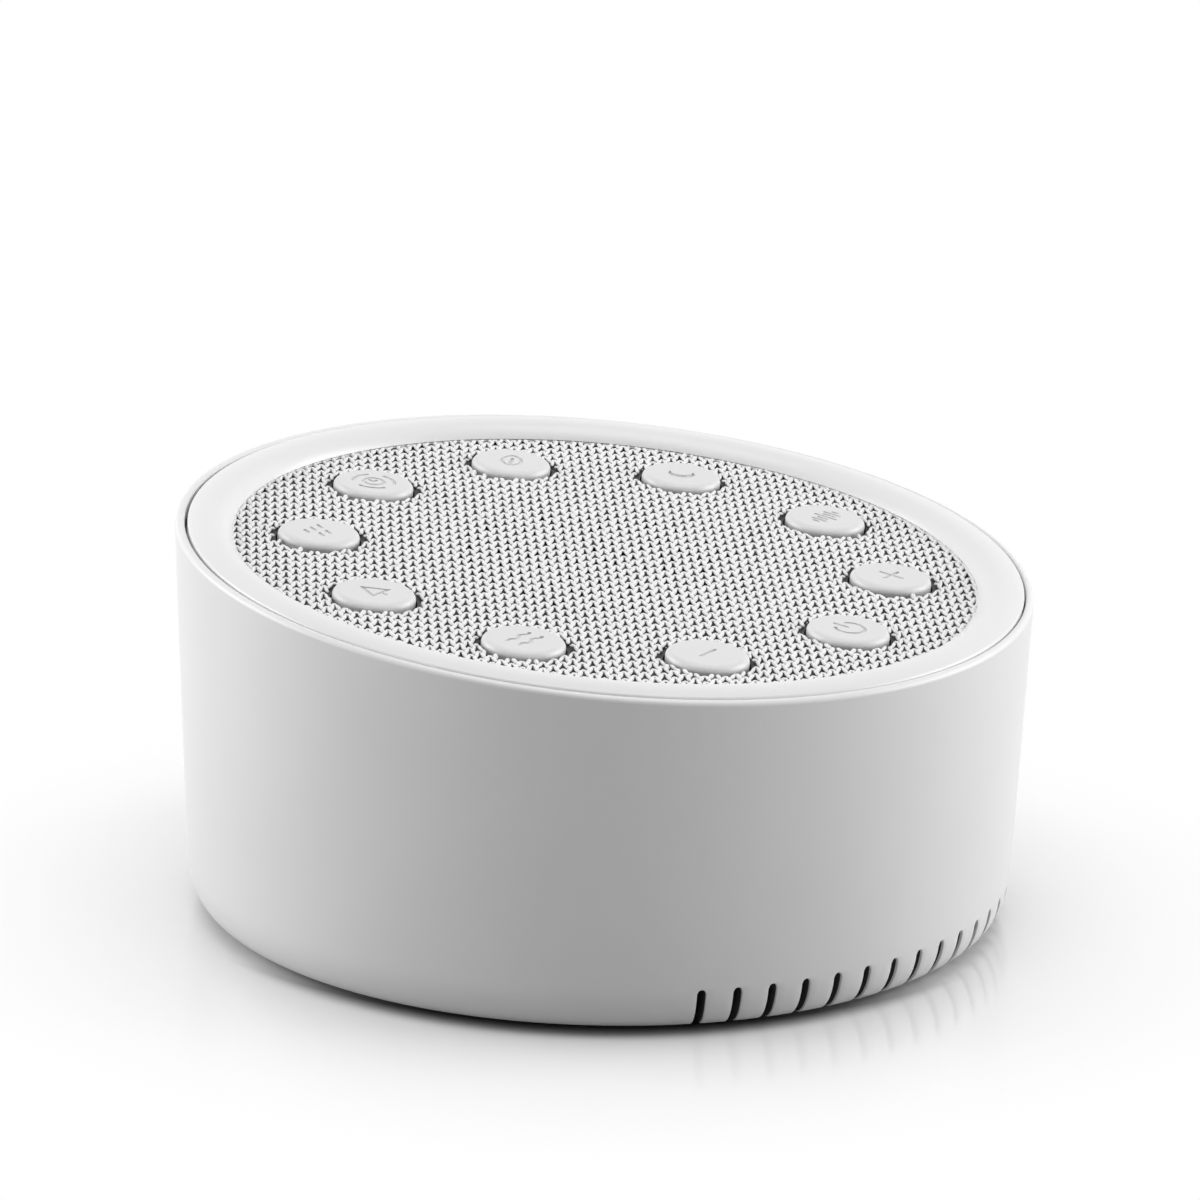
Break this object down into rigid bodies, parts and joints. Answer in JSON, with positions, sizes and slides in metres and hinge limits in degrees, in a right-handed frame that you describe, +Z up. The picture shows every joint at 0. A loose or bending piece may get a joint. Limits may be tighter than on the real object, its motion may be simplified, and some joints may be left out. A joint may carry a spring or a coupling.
{
  "type": "white noise sound machine",
  "caption": "Round desk sound machine with a sloping knit-covered deck, a ring of push buttons, an upward speaker, front vents and a rear charging socket.",
  "frame": {"origin": "on the table under the middle of the round body", "axes": "+Z up, the deck rises towards +Y, the vents face -Y"},
  "size_m": [0.1296, 0.1297, 0.0615],
  "materials": {
    "shell_plastic": "fine matt, soft touch",
    "bezel_plastic": "satin",
    "button_plastic": "fine matt",
    "knit_cloth": "open chunky knit",
    "inner_plastic": "moulded",
    "connector_plastic": "moulded",
    "board": "solder mask",
    "screw_steel": "plated",
    "bright_steel": "plated sheet",
    "can_aluminium": "drawn",
    "brass": "tinned",
    "copper": "enamelled winding",
    "ferrite": "sintered, dull",
    "soft_rubber": "matt",
    "foam": "closed-cell foam",
    "cone_paper": "pressed paper",
    "spider_cloth": "resin-stiffened cloth",
    "battery_wrap": "heat-sealed film",
    "lead_cover": "extruded cover"
  },
  "bodies": {
    "body": {"base_cover": "shell_plastic", "base_screws": "screw_steel", "battery_foam": "foam", "battery_leads": "lead_cover", "battery_pack": "battery_wrap", "bezel_ring": "bezel_plastic", "board_connectors": "connector_plastic", "capacitors": "can_aluminium", "chips": "inner_plastic", "control_board": "board", "control_board_connector": "connector_plastic", "control_board_screws": "screw_steel", "control_ribbon": "connector_plastic", "deck_screws": "screw_steel", "grille_cloth": "knit_cloth", "grille_plate": "inner_plastic", "housing": "shell_plastic", "main_board": "board", "main_board_screws": "screw_steel", "rubber_feet": "soft_rubber", "speaker_basket": "bright_steel", "speaker_gasket": "foam", "speaker_leads": "lead_cover", "speaker_magnet": "ferrite", "speaker_screws": "screw_steel", "speaker_spider": "spider_cloth", "speaker_surround": "soft_rubber", "speaker_tags": "brass", "speaker_terminal_board": "inner_plastic", "speaker_top_plate": "bright_steel", "speaker_yoke": "bright_steel", "switch_bases": "inner_plastic", "switch_covers": "bright_steel", "usb_c_socket": "bright_steel", "usb_c_tongue": "inner_plastic"},
    "volume_up_button": {"button_volume_up": "button_plastic", "plunger_volume_up": "inner_plastic"},
    "white_noise_button": {"button_white_noise": "button_plastic", "plunger_white_noise": "inner_plastic"},
    "calm_button": {"button_calm": "button_plastic", "plunger_calm": "inner_plastic"},
    "relax_button": {"button_relax": "button_plastic", "plunger_relax": "inner_plastic"},
    "timer_button": {"button_timer": "button_plastic", "plunger_timer": "inner_plastic"},
    "rain_button": {"button_rain": "button_plastic", "plunger_rain": "inner_plastic"},
    "forest_button": {"button_forest": "button_plastic", "plunger_forest": "inner_plastic"},
    "ocean_button": {"button_ocean": "button_plastic", "plunger_ocean": "inner_plastic"},
    "volume_down_button": {"button_volume_down": "button_plastic", "plunger_volume_down": "inner_plastic"},
    "power_button": {"button_power": "button_plastic", "plunger_power": "inner_plastic"},
    "cone": {"speaker_cone": "cone_paper", "speaker_dust_cap": "cone_paper", "speaker_voice_coil": "copper"}
  },
  "joints": [
    {"name": "volume_up_press", "type": "slide", "parent": "body", "child": "volume_up_button", "axis": [0, 0.0859, -0.9963], "range_m": [0, 0.0004], "stiffness_N_per_m": 3000},
    {"name": "white_noise_press", "type": "slide", "parent": "body", "child": "white_noise_button", "axis": [0, 0.0859, -0.9963], "range_m": [0, 0.0004], "stiffness_N_per_m": 3000},
    {"name": "calm_press", "type": "slide", "parent": "body", "child": "calm_button", "axis": [0, 0.0859, -0.9963], "range_m": [0, 0.0004], "stiffness_N_per_m": 3000},
    {"name": "relax_press", "type": "slide", "parent": "body", "child": "relax_button", "axis": [0, 0.0859, -0.9963], "range_m": [0, 0.0004], "stiffness_N_per_m": 3000},
    {"name": "timer_press", "type": "slide", "parent": "body", "child": "timer_button", "axis": [0, 0.0859, -0.9963], "range_m": [0, 0.0004], "stiffness_N_per_m": 3000},
    {"name": "rain_press", "type": "slide", "parent": "body", "child": "rain_button", "axis": [0, 0.0859, -0.9963], "range_m": [0, 0.0004], "stiffness_N_per_m": 3000},
    {"name": "forest_press", "type": "slide", "parent": "body", "child": "forest_button", "axis": [0, 0.0859, -0.9963], "range_m": [0, 0.0004], "stiffness_N_per_m": 3000},
    {"name": "ocean_press", "type": "slide", "parent": "body", "child": "ocean_button", "axis": [0, 0.0859, -0.9963], "range_m": [0, 0.0004], "stiffness_N_per_m": 3000},
    {"name": "volume_down_press", "type": "slide", "parent": "body", "child": "volume_down_button", "axis": [0, 0.0859, -0.9963], "range_m": [0, 0.0004], "stiffness_N_per_m": 3000},
    {"name": "power_press", "type": "slide", "parent": "body", "child": "power_button", "axis": [0, 0.0859, -0.9963], "range_m": [0, 0.0004], "stiffness_N_per_m": 3000},
    {"name": "cone_travel", "type": "slide", "parent": "body", "child": "cone", "axis": [0, 0.0859, -0.9963], "range_m": [-0.001, 0.001], "stiffness_N_per_m": 2200, "deforming": ["speaker_surround", "speaker_spider"]}
  ]
}
